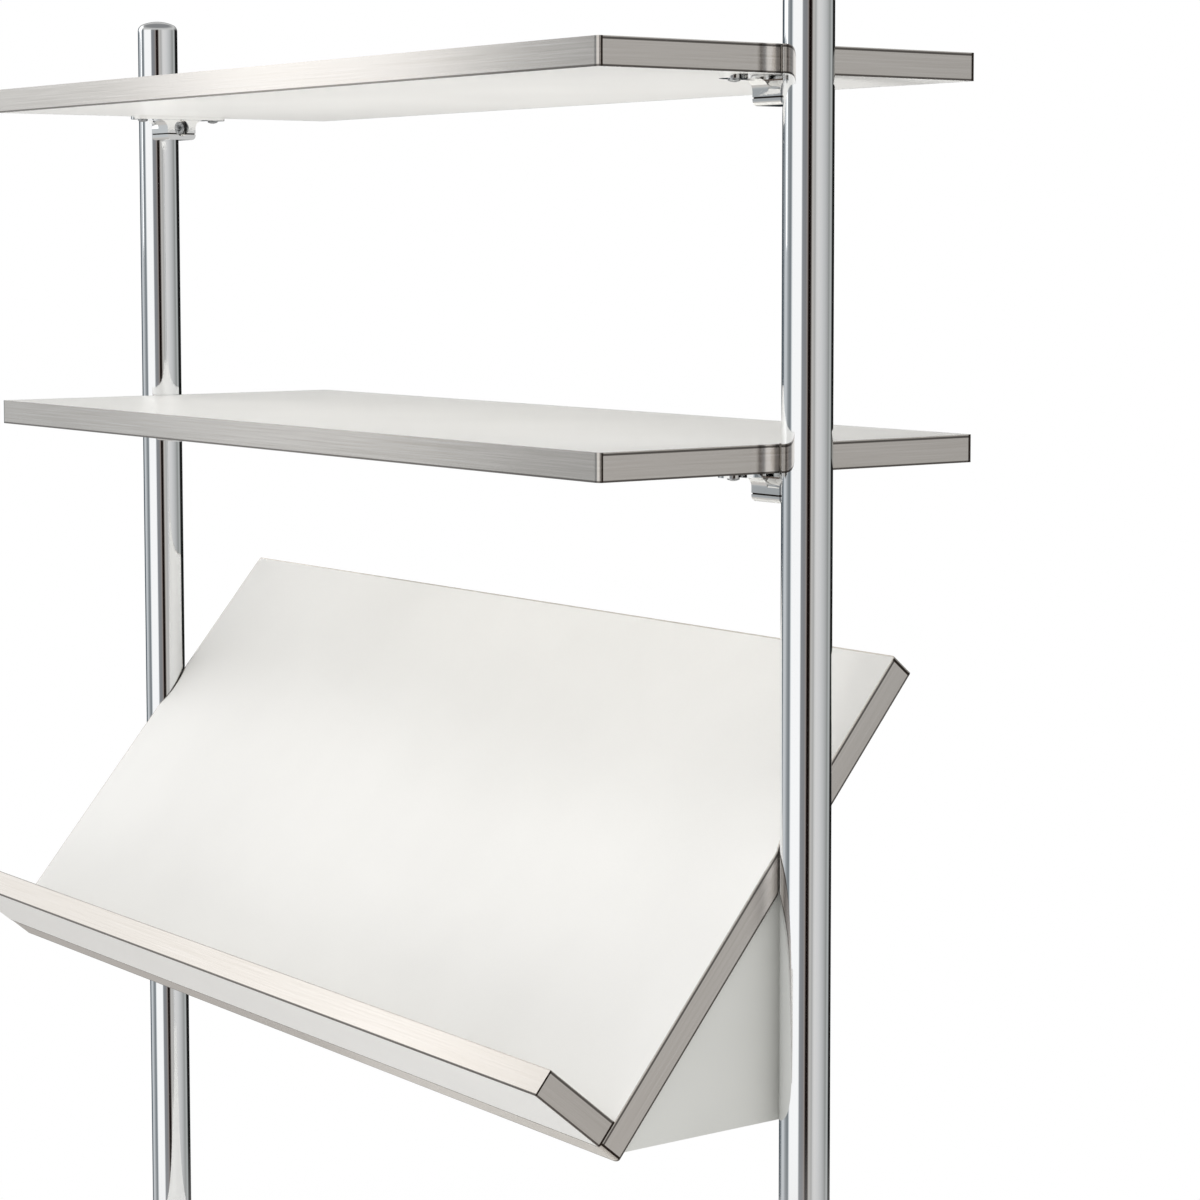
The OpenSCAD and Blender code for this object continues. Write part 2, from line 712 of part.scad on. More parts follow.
lip_board();
lip_band();  // lip_edge_band
lip_screws();
gusset(-1);  // left_gusset
gusset(1);  // right_gusset
gusset_wood_screws();
gusset_clamp_screws();
foot(-1);  // left_foot
foot(1);  // right_foot
foot_caps(-1);  // left_foot_caps
foot_caps(1);  // right_foot_caps
foot_bolts();
glide_inserts();
glide(-1, -1);  // front_left_glide
glide(1, -1);  // front_right_glide
glide(-1, 1);  // back_left_glide
glide(1, 1);  // back_right_glide
pad(-1, -1);  // front_left_pad
pad(1, -1);  // front_right_pad
pad(-1, 1);  // back_left_pad
pad(1, 1);  // back_right_pad
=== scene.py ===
# Free-standing display shelving: chrome posts, cast brackets, white laminate shelves edged in brushed steel,
# and one tilted display shelf with a lip. Lengths are in millimetres, unless a comment says metres.
import json
import math

import bmesh
import bpy
from mathutils import Matrix, Vector


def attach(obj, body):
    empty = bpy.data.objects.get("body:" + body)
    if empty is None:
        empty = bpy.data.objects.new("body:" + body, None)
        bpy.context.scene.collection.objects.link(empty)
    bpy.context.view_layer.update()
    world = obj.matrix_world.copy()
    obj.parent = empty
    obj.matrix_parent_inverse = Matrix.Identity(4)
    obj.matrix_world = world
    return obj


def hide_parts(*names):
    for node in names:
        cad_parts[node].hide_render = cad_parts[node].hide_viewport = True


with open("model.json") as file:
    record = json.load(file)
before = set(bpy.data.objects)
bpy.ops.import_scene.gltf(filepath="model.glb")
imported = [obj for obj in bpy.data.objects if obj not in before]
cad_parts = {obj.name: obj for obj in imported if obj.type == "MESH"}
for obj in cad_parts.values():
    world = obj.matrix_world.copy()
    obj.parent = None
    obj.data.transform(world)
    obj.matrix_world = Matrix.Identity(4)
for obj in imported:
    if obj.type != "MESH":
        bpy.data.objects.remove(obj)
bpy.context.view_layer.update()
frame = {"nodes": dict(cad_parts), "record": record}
cadNodes = frame["nodes"]
mm = 0.001
print("frame loaded:", len(cadNodes), "nodes")

bodyOf = {}
for bodyName, members in frame["record"]["behaviour"]["bodies"].items():
    for member in members:
        bodyOf[member] = bodyName


# Camera: fitted to the edges of the shelves, of the tilted board and of both posts in the photograph
view = {
    "place": (1.8950, -1.2502, 1.31741),  # metres
    "yaw": 36.37,  # degrees from the shelves' length, turned towards the front
    "pitch": 4.63,  # degrees downwards
    "roll": -0.07,
    "lens": 94.42,
    "sensor": 36.0,
    "shiftUp": -100 / 1200,  # the level of the lens lies this far above the middle of the picture
    "farClip": 60,  # metres
}


def aimCamera():
    yaw = math.radians(view["yaw"])
    pitch = math.radians(view["pitch"])
    forward = Vector((-math.cos(yaw) * math.cos(pitch), math.sin(yaw) * math.cos(pitch), -math.sin(pitch)))
    turn = forward.to_track_quat("-Z", "Y").to_matrix().to_4x4()
    roll = Matrix.Rotation(math.radians(view["roll"]), 4, "Z")
    lens = bpy.data.cameras.new("displayCamera")
    lens.sensor_width = view["sensor"]
    lens.lens = view["lens"]
    lens.shift_y = view["shiftUp"]
    lens.clip_end = view["farClip"]
    camera = bpy.data.objects.new("displayCamera", lens)
    camera.matrix_world = Matrix.Translation(view["place"]) @ turn @ roll
    bpy.context.scene.collection.objects.link(camera)
    bpy.context.scene.camera = camera


aimCamera()
bpy.context.scene.view_settings.view_transform = "Standard"
print("camera placed")


def toLinear(hexCode):
    channels = [int(hexCode[i:i + 2], 16) / 255 for i in (1, 3, 5)]
    return tuple(c / 12.92 if c <= 0.04045 else ((c + 0.055) / 1.055) ** 2.4 for c in channels) + (1.0,)


def addNode(tree, kind, settings=None, links=None):
    node = tree.nodes.new(kind)
    for name, value in (settings or {}).items():
        if isinstance(name, int) or name in node.inputs:
            node.inputs[name].default_value = toLinear(value) if isinstance(value, str) else value
        else:
            setattr(node, name, value)
    for name, source in (links or {}).items():
        tree.links.new(source, node.inputs[name])
    return node


def addRamp(tree, source, stops):
    node = addNode(tree, "ShaderNodeValToRGB", links={"Fac": source})
    ramp = node.color_ramp
    while len(ramp.elements) > 1:
        ramp.elements.remove(ramp.elements[-1])
    ramp.elements[0].position = stops[0][0]
    ramp.elements[0].color = toLinear(stops[0][1])
    for place, shade in stops[1:]:
        ramp.elements.new(place).color = toLinear(shade)
    return node.outputs["Color"]


def addMath(tree, operation, *values):
    node = addNode(tree, "ShaderNodeMath", {"operation": operation})
    for socket, value in zip(node.inputs, values):
        if isinstance(value, (int, float)):
            socket.default_value = value
        else:
            tree.links.new(value, socket)
    return node.outputs[0]


def addRange(tree, source, fromRange, toRange=(0.0, 1.0)):
    limits = {"From Min": fromRange[0], "From Max": fromRange[1], "To Min": toRange[0], "To Max": toRange[1]}
    return addNode(tree, "ShaderNodeMapRange", limits, {"Value": source}).outputs[0]


def addColourMix(tree, share, first, second):
    node = addNode(tree, "ShaderNodeMix", {"data_type": "RGBA"}, {0: share})
    for place, colour in ((6, first), (7, second)):  # where the two colours stand among the sockets of this node
        if isinstance(colour, str):
            node.inputs[place].default_value = toLinear(colour)
        else:
            tree.links.new(colour, node.inputs[place])
    return node.outputs[2]


def addNoise(tree, place, size, detail):
    return addNode(tree, "ShaderNodeTexNoise", {"Scale": 1 / (size * mm), "Detail": detail},
                   {"Vector": place}).outputs["Fac"]


def addRelief(tree, source, strength, depth):
    return addNode(tree, "ShaderNodeBump", {"Strength": strength, "Distance": depth * mm},
                   {"Height": source}).outputs[0]


def objectPlace(tree):
    return addNode(tree, "ShaderNodeTexCoord").outputs["Object"]


def readAttribute(tree, name, kind="Fac"):
    return addNode(tree, "ShaderNodeAttribute", {"attribute_name": name}).outputs[kind]


def newMaterial(name):
    material = bpy.data.materials.new(name)
    material.use_nodes = True
    material.node_tree.nodes.clear()
    return material, material.node_tree


def closeMaterial(tree, settings, links):
    surface = addNode(tree, "ShaderNodeBsdfPrincipled", settings, links)
    addNode(tree, "ShaderNodeOutputMaterial", links={"Surface": surface.outputs[0]})


noiseSpan = (0.3, 0.7)  # nearly all the values of a noise lie between these


# Drawn steel tube with bright chrome plate: a mirror with faint lines along the tube, left by polishing
tubeChromeLook = {
    "plate": "#F5F6F7",
    "hazeRange": (0.02, 0.07),
    "lineSpacing": 1.2,
    "lineLength": 400,
    "lineDetail": 3,
    "lineRoughness": 0.6,
    "relief": (0.02, 0.2),  # strength, and depth
}


def makeTubeChrome():
    look = tubeChromeLook
    material, tree = newMaterial("chromePlatedTube")
    across = 1 / (look["lineSpacing"] * mm)
    along = 1 / (look["lineLength"] * mm)
    lines = addNode(tree, "ShaderNodeMapping", {"Scale": (across, across, along)},
                    {"Vector": objectPlace(tree)})
    grain = addNode(tree, "ShaderNodeTexNoise",
                    {"Scale": 1.0, "Detail": look["lineDetail"], "Roughness": look["lineRoughness"]},
                    {"Vector": lines.outputs[0]}).outputs["Fac"]
    closeMaterial(tree, {"Base Color": look["plate"], "Metallic": 1.0},
                  {"Roughness": addRange(tree, grain, noiseSpan, look["hazeRange"]),
                   "Normal": addRelief(tree, grain, *look["relief"])})
    return material


# Die-cast zinc with chrome plate: softer than the tube, with the slight waviness of the casting, and painted
# shade in its cast groove
castChromeLook = {
    "plate": "#F3F3F2",
    "grooveShade": "#3B342F",  # painted shade: the cast groove is coloured dark for the shadow line in it, where the plate also hardly reaches
    "grooveLevels": (4.3, 5.4),  # above the lower edge of the bracket
    "waveSize": 7,
    "grit": 0.5,
    "hazeRange": (0.03, 0.07),
    "relief": (0.07, 0.6),  # strength, and depth
}


def makeCastChrome():
    look = castChromeLook
    material, tree = newMaterial("chromePlatedCasting")
    place = objectPlace(tree)
    waves = addNoise(tree, place, look["waveSize"], 2)
    grit = addNoise(tree, place, look["grit"], 2)
    low, high = look["grooveLevels"]
    # the band between the groove levels takes the dark colour, as painted shade
    fromGroove = addMath(tree, "SUBTRACT", readAttribute(tree, "aboveEdge"), (low + high) / 2)
    inGroove = addMath(tree, "LESS_THAN", addMath(tree, "ABSOLUTE", fromGroove), (high - low) / 2)
    closeMaterial(tree, {"Metallic": 1.0},
                  {"Base Color": addColourMix(tree, inGroove, look["plate"], look["grooveShade"]),
                   "Roughness": addRange(tree, grit, noiseSpan, look["hazeRange"]),
                   "Normal": addRelief(tree, waves, *look["relief"])})
    return material


# Stainless edge band, brushed along its length: fine streaks, and on each end strip a dark line all round, a
# glue joint with painted shade and dark reflection on its eased rims.
# The real brush lines are about 0.1 mm apart, too fine to show, so they are drawn about a millimetre apart.
edgeBandLook = {
    "steelDark": "#D2CCC5",
    "steelLight": "#E0DBD6",
    "toneRange": (0.45, 0.90),  # values of the mixed streaks and clouds that give the dark and the light steel
    # the dark line along the rims and joints: a glue joint, with painted shade and dark reflection on the eased
    # rims
    "glueAndShadeLine": "#352D27",
    "glueAndShadeShare": 0.82,  # of the long lines, painted shade on the rims, which are paler than the joints
    "frontShadeShare": 0.85,  # a glue joint and painted shade along the lower edge of the front strip
    "lineSpacing": 0.9,
    "lineLength": 90,
    "lineDetail": 4,
    "lineRoughness": 0.65,
    "cloudLength": 260,
    "cloudShare": 0.35,
    "thickness": 18,
    "lineHeight": 1.1,
    "lineFade": 1.25,  # the line has faded out at this many times its height
    "jointPlace": 3.2,  # where the front strip, bent round the corner, meets the end strip
    "jointWidth": 1.3,
    "easedRim": 0.8,
    "cornerRadius": 2,
    "cornerReach": 4.4,  # how far along the front the bend starts
    "hazeRange": (0.21, 0.26),
    "relief": (0.07, 0.2),  # strength, and depth
    "stretch": 0.95,  # brushing spreads the reflections across the band, and hardly along it
}


def addBandTone(tree, place, level):
    look = edgeBandLook
    rise = addNode(tree, "ShaderNodeCombineXYZ", links={"Z": level}).outputs[0]
    fine = addNode(tree, "ShaderNodeVectorMath", {"operation": "SCALE", "Scale": 1 / look["lineSpacing"]},
                   {0: rise})
    run = addNode(tree, "ShaderNodeVectorMath", {"operation": "SCALE", "Scale": 1 / (look["lineLength"] * mm)},
                  {0: place})
    streakPlace = addNode(tree, "ShaderNodeVectorMath", {"operation": "ADD"},
                          {0: run.outputs[0], 1: fine.outputs[0]})
    streaks = addNode(tree, "ShaderNodeTexNoise",
                      {"Scale": 1.0, "Detail": look["lineDetail"], "Roughness": look["lineRoughness"]},
                      {"Vector": streakPlace.outputs[0]}).outputs["Fac"]
    clouds = addNoise(tree, place, look["cloudLength"], 1)
    mixed = addMath(tree, "MULTIPLY_ADD", clouds, look["cloudShare"], streaks)
    dark, light = look["toneRange"]
    return streaks, addRamp(tree, mixed, [(dark, look["steelDark"]), (light, look["steelLight"])])


# The dark line lies along both rims of an end strip and at its joints, and along the lower rim of the front
# strip: a glue joint, with painted shade and dark reflection on the eased rims, and at the lower end of the lip
# painted shadow of the gap to the board. Above the upper line, the eased rim of the end strip is bare steel.
def addGlueAndShadeLine(tree, level):
    look = edgeBandLook
    line = look["lineHeight"]
    fade = line * look["lineFade"]
    rimFoot = look["thickness"] - look["easedRim"]
    lowLine = addRange(tree, level, (line, fade), (look["glueAndShadeShare"], 0.0))
    underRim = addRange(tree, level, (rimFoot - fade, rimFoot - line), (0.0, look["glueAndShadeShare"]))
    bareRim = addRange(tree, level, (rimFoot, rimFoot + fade - line), (1.0, 0.0))
    highLine = addMath(tree, "MULTIPLY", underRim, bareRim)
    joint = addMath(tree, "GREATER_THAN", readAttribute(tree, "fromJoint"), 0.5)
    border = addMath(tree, "MAXIMUM", addMath(tree, "MAXIMUM", lowLine, highLine), joint)
    onStrip = addMath(tree, "MULTIPLY", border, readAttribute(tree, "endStrip"))
    onFront = addMath(tree, "MULTIPLY", lowLine, look["frontShadeShare"])
    return addMath(tree, "MAXIMUM", onStrip, onFront)


def makeEdgeBand():
    look = edgeBandLook
    material, tree = newMaterial("brushedStainlessBand")
    level = readAttribute(tree, "acrossBand")
    streaks, brushed = addBandTone(tree, objectPlace(tree), level)
    # the dark line mixed in here is a glue joint with painted shade and dark reflection on the rims
    closeMaterial(tree, {"Metallic": 1.0, "Anisotropic": look["stretch"]},
                  {"Base Color": addColourMix(tree, addGlueAndShadeLine(tree, level), brushed, look["glueAndShadeLine"]),
                   "Roughness": addRange(tree, streaks, noiseSpan, look["hazeRange"]),
                   "Normal": addRelief(tree, streaks, *look["relief"]),
                   "Tangent": readAttribute(tree, "acrossWay", "Vector")})
    return material


# White melamine laminate pressed with a fine satin grain: matt, slightly warm, faintly clouded
laminateLook = {
    "pale": "#F6F5F2",
    "deep": "#F0EFEC",
    "toneRange": (0.45, 0.85),
    "grain": 0.9,
    "grainShare": 0.25,
    "cloud": 180,
    "hazeRange": (0.33, 0.41),
    "relief": (0.05, 0.2),  # strength, and depth
    "ior": 1.48,
}


def makeLaminate():
    look = laminateLook
    material, tree = newMaterial("satinMelamineLaminate")
    place = objectPlace(tree)
    grain = addNoise(tree, place, look["grain"], 2)
    clouds = addNoise(tree, place, look["cloud"], 3)
    mixed = addMath(tree, "MULTIPLY_ADD", grain, look["grainShare"], clouds)
    deep, pale = look["toneRange"]
    closeMaterial(tree, {"IOR": look["ior"]},
                  {"Base Color": addRamp(tree, mixed, [(deep, look["deep"]), (pale, look["pale"])]),
                   "Roughness": addRange(tree, grain, noiseSpan, look["hazeRange"]),
                   "Normal": addRelief(tree, grain, *look["relief"])})
    return material


# Powder-coated sheet steel: pale grey, satin, with the fine orange peel of the baked powder
paintLook = {
    "coat": "#DBDBD6",
    "shade": "#D4D4CF",
    "peel": 1.6,
    "cloud": 90,
    "haze": 0.42,
    "relief": (0.10, 0.3),  # strength, and depth
    "ior": 1.5,
}


def makePaint():
    look = paintLook
    material, tree = newMaterial("powderCoatedSheet")
    place = objectPlace(tree)
    peel = addNoise(tree, place, look["peel"], 2)
    clouds = addNoise(tree, place, look["cloud"], 2)
    dark, light = noiseSpan
    closeMaterial(tree, {"Roughness": look["haze"], "IOR": look["ior"]},
                  {"Base Color": addRamp(tree, clouds, [(dark, look["shade"]), (light, look["coat"])]),
                   "Normal": addRelief(tree, peel, *look["relief"])})
    return material


# Zinc-plated steel fasteners: greyish and cloudy, with a soft shine
zincLook = {
    "bright": "#C6C8C9",
    "dull": "#9FA2A4",
    "spangle": 1.4,
    "toneRange": (0.1, 0.8),  # distances from the middle of a spangle, for the bright and the dull tone
    "hazeRange": (0.22, 0.42),
}


def makeZinc():
    look = zincLook
    material, tree = newMaterial("zincPlatedSteel")
    spangle = addNode(tree, "ShaderNodeTexVoronoi", {"Scale": 1 / (look["spangle"] * mm)},
                      {"Vector": objectPlace(tree)}).outputs["Distance"]
    bright, dull = look["toneRange"]
    closeMaterial(tree, {"Metallic": 1.0},
                  {"Base Color": addRamp(tree, spangle, [(bright, look["bright"]), (dull, look["dull"])]),
                   "Roughness": addRange(tree, spangle, (0.0, dull), look["hazeRange"])})
    return material


# Moulded black polypropylene: dark, matt, with a fine spark-eroded grain
plasticLook = {
    "body": "#2A2B2D",
    "worn": "#3A3B3D",
    "toneRange": (0.35, 0.75),
    "grain": 0.7,
    "haze": 0.55,
    "relief": (0.25, 0.2),  # strength, and depth
    "ior": 1.49,
}


def makePlastic():
    look = plasticLook
    material, tree = newMaterial("mouldedPolypropylene")
    grain = addNoise(tree, objectPlace(tree), look["grain"], 3)
    dark, light = look["toneRange"]
    closeMaterial(tree, {"Roughness": look["haze"], "IOR": look["ior"]},
                  {"Base Color": addRamp(tree, grain, [(dark, look["body"]), (light, look["worn"])]),
                   "Normal": addRelief(tree, grain, *look["relief"])})
    return material


finishes = {
    "tube_chrome": makeTubeChrome(),
    "cast_chrome": makeCastChrome(),
    "edge_steel": makeEdgeBand(),
    "white_laminate": makeLaminate(),
    "grey_paint": makePaint(),
    "zinc_plate": makeZinc(),
    "dark_plastic": makePlastic(),
}
print("materials made:", len(finishes))


# Which finish each kind of node takes, by the ending of its name, and how far its edges are eased
easing = {"castEdge": 0.35, "sheetEdge": 0.4, "mouldedEdge": 0.4}
finishOf = [
    ("post_inserts", "zinc_plate", 0),
    ("post_plug", "zinc_plate", 0),
    ("post_cap", "tube_chrome", 0),
    ("post", "tube_chrome", 0),
    ("foot_bolts", "zinc_plate", 0),
    ("foot_caps", "dark_plastic", easing["mouldedEdge"]),
    ("foot", "tube_chrome", 0),
    ("bracket", "cast_chrome", easing["castEdge"]),
    ("edge_band", "edge_steel", 0),
    ("board", "white_laminate", 0),
    ("screws", "zinc_plate", 0),
    ("gusset", "grey_paint", easing["sheetEdge"]),
    ("glide_inserts", "zinc_plate", 0),
    ("glide", "zinc_plate", 0),
    ("pad", "dark_plastic", 0),
]


def finishFor(nodeName):
    for ending, slot, edge in finishOf:
        if nodeName.endswith(ending):
            return slot, edge
    raise SystemExit("no finish for " + nodeName)


# The tilted shelf: the way up its board, and the way out of its upper face
tiltedShelf = {"angle": 50}
tilt = math.radians(tiltedShelf["angle"])
slope = Vector((0, math.cos(tilt), math.sin(tilt)))
faceOut = Vector((0, -slope.z, slope.y))

rounding = {"steps": 2, "profile": 0.5}  # of every eased edge: a quarter round in two steps
bandTrim = {
    "touch": 0.02,  # two places count as the same within this
    "cut": 0.001,
    "bendSlack": 1.02,  # the bend of the corner is looked for within this many times its radius
    "wallShare": 0.1,  # the normal of a wall points across the band by less than this, and outwards by more
    "rimShare": 0.9,  # the normal of an upper or lower rim face points across the band by more than this
    "endShare": 0.5,  # the normal of an end strip points sideways by more than this,
    "endTimes": 3,  # and this many times more than it points lengthways
}


def bandAxes(nodeName):
    if nodeName.startswith("tilted"):
        return faceOut, slope
    if nodeName.startswith("lip"):
        return slope, -faceOut
    return Vector((0, 0, 1)), Vector((0, 1, 0))


def drawOutBend(shape, back, front, end):
    radius = edgeBandLook["cornerRadius"] * mm
    near = radius * bandTrim["bendSlack"]
    stretch = edgeBandLook["cornerReach"] * mm / radius - 1
    for corner in shape.verts:
        inside = end - abs(corner.co.x)
        behind = corner.co.dot(back) - front
        bend = math.hypot(inside - radius, behind - radius)
        if inside < near and behind < near and abs(bend - radius) < bandTrim["touch"] * mm:
            corner.co.x -= math.copysign(inside * stretch, corner.co.x)


def findOuterRims(shape, across, back, front, end, levels):
    touch = bandTrim["touch"] * mm
    near = edgeBandLook["cornerRadius"] * mm * bandTrim["bendSlack"]
    reach = edgeBandLook["cornerReach"] * mm
    wall = bandTrim["wallShare"]
    rims = []
    for rim in shape.edges:
        if len(rim.link_faces) != 2:
            continue
        middle = (rim.verts[0].co + rim.verts[1].co) / 2
        inside = end - abs(middle.x)
        behind = middle.dot(back) - front
        outer = inside < touch or behind < touch or (inside < reach and behind < near)
        leans = sorted(abs(face.normal.dot(across)) for face in rim.link_faces)
        level = middle.dot(across)
        atRim = level - levels[0] < touch or levels[1] - level < touch
        outward = any(face.normal.dot(-back) > wall or abs(face.normal.x) > wall for face in rim.link_faces)
        if outer and atRim and leans[0] < wall and leans[1] > bandTrim["rimShare"] and outward:
            rims.append(rim)
    return rims


# Draws the bend of a band out along the front and eases its outer rims, cuts the end strips where their joints
# lie, then marks each vertex with its level and each face with its place
def shapeBand(shape, nodeName):
    look = edgeBandLook
    across, back = bandAxes(nodeName)
    isLip = nodeName.startswith("lip")
    low = min(corner.co.dot(across) for corner in shape.verts)
    high = max(corner.co.dot(across) for corner in shape.verts)
    front = min(corner.co.dot(back) for corner in shape.verts)
    end = max(corner.co.x for corner in shape.verts)
    if not isLip:
        drawOutBend(shape, back, front, end)
    shape.normal_update()
    rims = findOuterRims(shape, across, back, front, end, (low, high))
    bmesh.ops.bevel(shape, geom=rims, offset=look["easedRim"] * mm, offset_type="OFFSET", affect="EDGES",
                    segments=rounding["steps"], profile=rounding["profile"], material=-1, clamp_overlap=True)
    shape.normal_update()
    rear = max(corner.co.dot(back) for corner in shape.verts)
    jointIn = look["jointWidth" if isLip else "jointPlace"] * mm
    firstJoint = front + jointIn
    lastJoint = rear - jointIn
    for place in (firstJoint, lastJoint):
        bmesh.ops.bisect_plane(shape, geom=shape.verts[:] + shape.edges[:] + shape.faces[:],
                               dist=bandTrim["cut"] * mm, plane_co=back * place, plane_no=back)
    shape.normal_update()
    levels = shape.verts.layers.float.new("acrossBand")
    ways = shape.verts.layers.float_vector.new("acrossWay")
    strips = shape.faces.layers.float.new("endStrip")
    joints = shape.faces.layers.float.new("fromJoint")
    for corner in shape.verts:
        corner[levels] = (corner.co.dot(across) - low) / mm
        corner[ways] = across
    for face in shape.faces:
        sideways = abs(face.normal.x)
        lengthways = abs(face.normal.dot(back))
        behind = face.calc_center_median().dot(back)
        onEnd = sideways > bandTrim["endShare"] and sideways > bandTrim["endTimes"] * lengthways
        face[strips] = float(onEnd)
        face[joints] = float(behind < firstJoint or behind > lastJoint)


dressing = {
    "weld": 0.002,
    "flatAngle": 0.4,  # degrees: faces that differ by less become one
    "sharpAngle": 28,  # degrees: an edge that bends more stays sharp
    "easeAngle": 32,  # degrees: an edge that bends more is eased
    "wallWeight": 100,  # how strongly a large face sets the shading of a small one beside it
}


def markBracket(shape):
    levels = shape.verts.layers.float.new("aboveEdge")
    lowest = min(corner.co.z for corner in shape.verts)
    for corner in shape.verts:
        corner[levels] = (corner.co.z - lowest) / mm


def easeEdges(piece, width):
    bevel = piece.modifiers.new("easedEdges", "BEVEL")
    bevel.width = width * mm
    bevel.segments = rounding["steps"]
    bevel.limit_method = "ANGLE"
    bevel.angle_limit = math.radians(dressing["easeAngle"])
    bevel.profile = rounding["profile"]
    bevel.material = -1
    bevel.use_clamp_overlap = True
    bevel.harden_normals = True


# Keeps the walls of a band flat beside their eased rims
def flattenWalls(piece):
    settle = piece.modifiers.new("flatWalls", "WEIGHTED_NORMAL")
    settle.mode = "FACE_AREA"
    settle.weight = dressing["wallWeight"]
    settle.keep_sharp = True


def dressNode(nodeName):
    slot, edge = finishFor(nodeName)
    shape = bmesh.new()
    shape.from_mesh(cadNodes[nodeName].data)
    bmesh.ops.remove_doubles(shape, verts=shape.verts, dist=dressing["weld"] * mm)
    bmesh.ops.dissolve_limit(shape, angle_limit=math.radians(dressing["flatAngle"]), verts=shape.verts,
                             edges=shape.edges)
    if slot == "edge_steel":
        shapeBand(shape, nodeName)
    if slot == "cast_chrome":
        markBracket(shape)
    for face in shape.faces:
        face.smooth = True
        face.material_index = 0
    for rim in shape.edges:
        rim.smooth = rim.calc_face_angle(0) < math.radians(dressing["sharpAngle"])
    mesh = bpy.data.meshes.new(nodeName + "_dressed")
    shape.to_mesh(mesh)
    shape.free()
    normals = mesh.attributes.get("custom_normal")
    if normals:
        mesh.attributes.remove(normals)
    mesh.materials.append(finishes[slot])
    piece = bpy.data.objects.new(nodeName + "_dressed", mesh)
    bpy.context.scene.collection.objects.link(piece)
    if edge:
        easeEdges(piece, edge)
    if slot == "edge_steel":
        flattenWalls(piece)
    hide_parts(nodeName)
    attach(piece, bodyOf[nodeName])
    return piece


dressed = {nodeName: dressNode(nodeName) for nodeName in sorted(cadNodes)}
for nodeName, node in cadNodes.items():
    node.data.materials.clear()
    node.data.materials.append(finishes[finishFor(nodeName)[0]])
print("pieces dressed:", len(dressed))


# Studio: a pale floor and a white surround. In metal the surround shows upright grey and dark panels, which
# give the chrome its streaks, a floor below them and a ceiling that darkens overhead.
studio = {
    "floorWidth": 40,  # metres
    "floorTone": "#F4F4F2",
    "floorWhite": (0.35, 1.0),  # share of plain white that the camera sees near the object, and further out
    "floorFade": (0.5, 2.2),  # metres from the middle of the object
    "softLight": 0.76,
    "bounceLight": 1.3,  # thrown back by the far part of a large white floor
    "nearFloorLight": 0.5,  # thrown back by the floor under the object
    "bounceHeights": (-0.75, -0.3),  # sines of the angles where the near floor turns into the far floor
    "horizonBlend": (-0.1, 0.1),  # sines of the angles where the light of the floor turns into that of the sky
    "mirroredFloor": "#C8C5C2",  # what metal shows of the floor
    "floorFrom": (-16, -24),  # degrees from the horizon
    "panelTop": 15,  # degrees above the horizon
    "panelBlend": (0.6, 1.6),  # the panels fade into the ceiling between these shares of their height
    "mirroredCeiling": "#C6C6C4",  # what metal shows above the panels, and straight up
    "mirroredZenith": "#868788",
    "zenithBlend": (0.5, 0.78),  # sines of the angles where the ceiling turns into the tone straight up
    # direction in degrees, anticlockwise from the right-hand end of the shelves, and its tone
    "panels": [(-180, "#5A646B"), (-172, "#5A646B"), (-166, "#C6CACD"), (-149, "#C6CACD"), (-142, "#A6AAAD"),
               (-131, "#82878A"), (-121, "#798084"), (-115, "#E0E3E5"), (-111, "#FFFFFF"), (-70, "#FFFFFF"),
               (-65, "#888B8F"), (-49, "#828284"), (-44, "#959190"), (-40, "#73665F"), (-38, "#0C0605"),
               (-29, "#140D0B"), (-26, "#473F3A"), (-21, "#BEBBB7"), (-13, "#B5B4B2"), (-9, "#AAA9A7"),
               (-3, "#CFCFCE"), (5, "#D9D8D7"), (22, "#D1D1D1"), (42, "#BDBEBE"), (54, "#ABACAC"),
               (66, "#8F918F"), (80, "#B4B7B6"), (87, "#A0A2A1"), (92, "#1A1B1A"), (130, "#1A1B1A"),
               (150, "#333A40"), (180, "#5A646B")],
}
# Soft lamps high at the left, the front and the back, and a narrow one low at the front for the undersides.
# Metal doesn't mirror all of them, so that they can light the boards and leave no spot on the chrome.
lamps = {
    # name: place and aim in metres, width and height in metres, watts, whether metal mirrors it, and spread in
    # degrees
    "sideLamp": ((-2.90, -1.95, 2.0), (0, 0, 1.3), 0.5, 1.4, 2.1, True, 180),
    "highCard": ((-2.9, -1.0, 2.5), (0, -0.3, 1.0), 1.9, 1.8, 7.5, True, 180),
    "highFill": ((-2.9, -1.0, 2.5), (0, -0.3, 1.0), 1.9, 1.8, 1, False, 180),
    "frontLamp": ((0.3, -1.5, 3.2), (0, -0.1, 1.0), 1.2, 0.8, 9, False, 180),
    "backLamp": ((0.3, 2.6, 2.4), (0, 0, 1.3), 2.6, 1.2, 28, False, 180),
    "underLamp": ((0.9, -2.3, 0.25), (0, 0, 1.42), 1.6, 0.3, 1.8, False, 18),
}


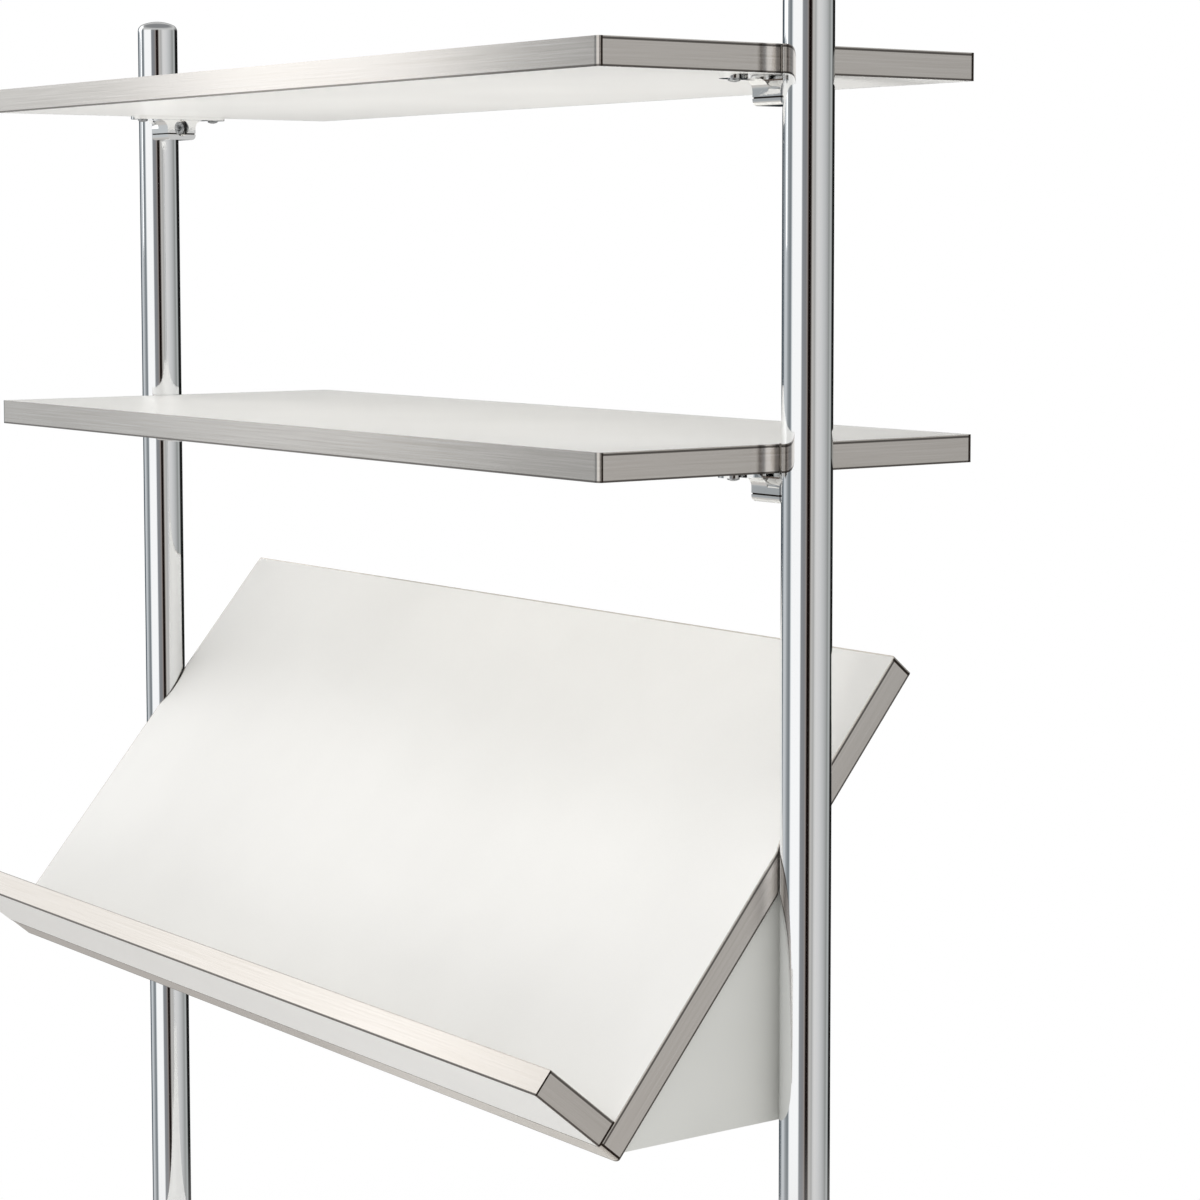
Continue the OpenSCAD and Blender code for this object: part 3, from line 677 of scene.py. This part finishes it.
def makeFloor():
    shape = bmesh.new()
    bmesh.ops.create_grid(shape, x_segments=1, y_segments=1, size=studio["floorWidth"] / 2)
    mesh = bpy.data.meshes.new("studioFloor")
    shape.to_mesh(mesh)
    shape.free()
    floor = bpy.data.objects.new("studioFloor", mesh)
    bpy.context.scene.collection.objects.link(floor)
    material, tree = newMaterial("paleStudioFloor")
    rays = addNode(tree, "ShaderNodeLightPath")
    paint = addNode(tree, "ShaderNodeBsdfDiffuse", {"Color": studio["floorTone"]})
    white = addNode(tree, "ShaderNodeEmission", {"Color": "#FFFFFF", "Strength": 1.0})
    reach = addNode(tree, "ShaderNodeVectorMath", {"operation": "LENGTH"}, {0: objectPlace(tree)})
    nearFade, farFade = studio["floorFade"]
    nearWhite, farWhite = studio["floorWhite"]
    share = addNode(tree, "ShaderNodeMapRange",
                    {"interpolation_type": "SMOOTHSTEP", "From Min": nearFade, "From Max": farFade,
                     "To Min": nearWhite, "To Max": farWhite}, {"Value": reach.outputs["Value"]})
    seen = addMath(tree, "MULTIPLY", rays.outputs["Is Camera Ray"], share.outputs[0])
    surface = addNode(tree, "ShaderNodeMixShader", links={0: seen, 1: paint.outputs[0], 2: white.outputs[0]})
    addNode(tree, "ShaderNodeOutputMaterial", links={"Surface": surface.outputs[0]})
    mesh.materials.append(material)
    floor.visible_glossy = False
    floor.visible_diffuse = False  # the light from below comes from the surround
    floor.visible_shadow = False


def addMirroredRoom(tree, place, height):
    turn = addNode(tree, "ShaderNodeTexGradient", {"gradient_type": "RADIAL"}, {"Vector": place})
    stops = [(degrees / 360 + 0.5, tone) for degrees, tone in studio["panels"]]
    panels = addRamp(tree, turn.outputs["Fac"], stops)
    top = math.sin(math.radians(studio["panelTop"]))
    above = addRange(tree, height, [top * share for share in studio["panelBlend"]])
    nearFloor, onFloor = (math.sin(math.radians(degrees)) for degrees in studio["floorFrom"])
    below = addRange(tree, height, (onFloor, nearFloor), (1.0, 0.0))
    around = addColourMix(tree, below, panels, studio["mirroredFloor"])
    overhead = addRange(tree, height, studio["zenithBlend"])
    ceiling = addColourMix(tree, overhead, studio["mirroredCeiling"], studio["mirroredZenith"])
    return addColourMix(tree, above, around, ceiling)


def addSoftLight(tree, height):
    thrown = addRange(tree, height, studio["bounceHeights"], (studio["nearFloorLight"], studio["bounceLight"]))
    horizonLow, horizonHigh = studio["horizonBlend"]
    lift = addNode(tree, "ShaderNodeMapRange",
                   {"From Min": horizonLow, "From Max": horizonHigh, "To Max": studio["softLight"]},
                   {"Value": height, "To Min": thrown})
    return lift.outputs[0]


def makeWorld():
    world = bpy.data.worlds.new("whiteStudio")
    bpy.context.scene.world = world
    world.use_nodes = True
    tree = world.node_tree
    tree.nodes.clear()
    place = addNode(tree, "ShaderNodeTexCoord").outputs["Generated"]
    height = addNode(tree, "ShaderNodeSeparateXYZ", links={0: place}).outputs["Z"]
    rays = addNode(tree, "ShaderNodeLightPath")
    mirrored = addMath(tree, "MAXIMUM", rays.outputs["Is Glossy Ray"], rays.outputs["Is Transmission Ray"])
    picture = addNode(tree, "ShaderNodeBackground", {"Strength": 1.0},
                      {"Color": addMirroredRoom(tree, place, height)})
    plain = addNode(tree, "ShaderNodeBackground", {"Color": "#FFFFFF", "Strength": 1.0})
    light = addNode(tree, "ShaderNodeBackground", {"Color": "#FFFFFF"},
                    {"Strength": addSoftLight(tree, height)})
    shine = addNode(tree, "ShaderNodeMixShader",
                    links={0: mirrored, 1: light.outputs[0], 2: picture.outputs[0]})
    whole = addNode(tree, "ShaderNodeMixShader",
                    links={0: rays.outputs["Is Camera Ray"], 1: shine.outputs[0], 2: plain.outputs[0]})
    addNode(tree, "ShaderNodeOutputWorld", links={"Surface": whole.outputs[0]})


def makeLamp(name):
    place, aim, width, height, power, mirrored, spread = lamps[name]
    lamp = bpy.data.lights.new(name, "AREA")
    lamp.shape = "RECTANGLE"
    lamp.size = width
    lamp.size_y = height
    lamp.energy = power
    lamp.spread = math.radians(spread)
    stand = bpy.data.objects.new(name, lamp)
    turn = (Vector(aim) - Vector(place)).to_track_quat("-Z", "Y").to_matrix().to_4x4()
    stand.matrix_world = Matrix.Translation(place) @ turn
    stand.visible_glossy = mirrored
    stand.visible_camera = False
    bpy.context.scene.collection.objects.link(stand)


makeFloor()
makeWorld()
for lampName in lamps:
    makeLamp(lampName)
print("studio lit")
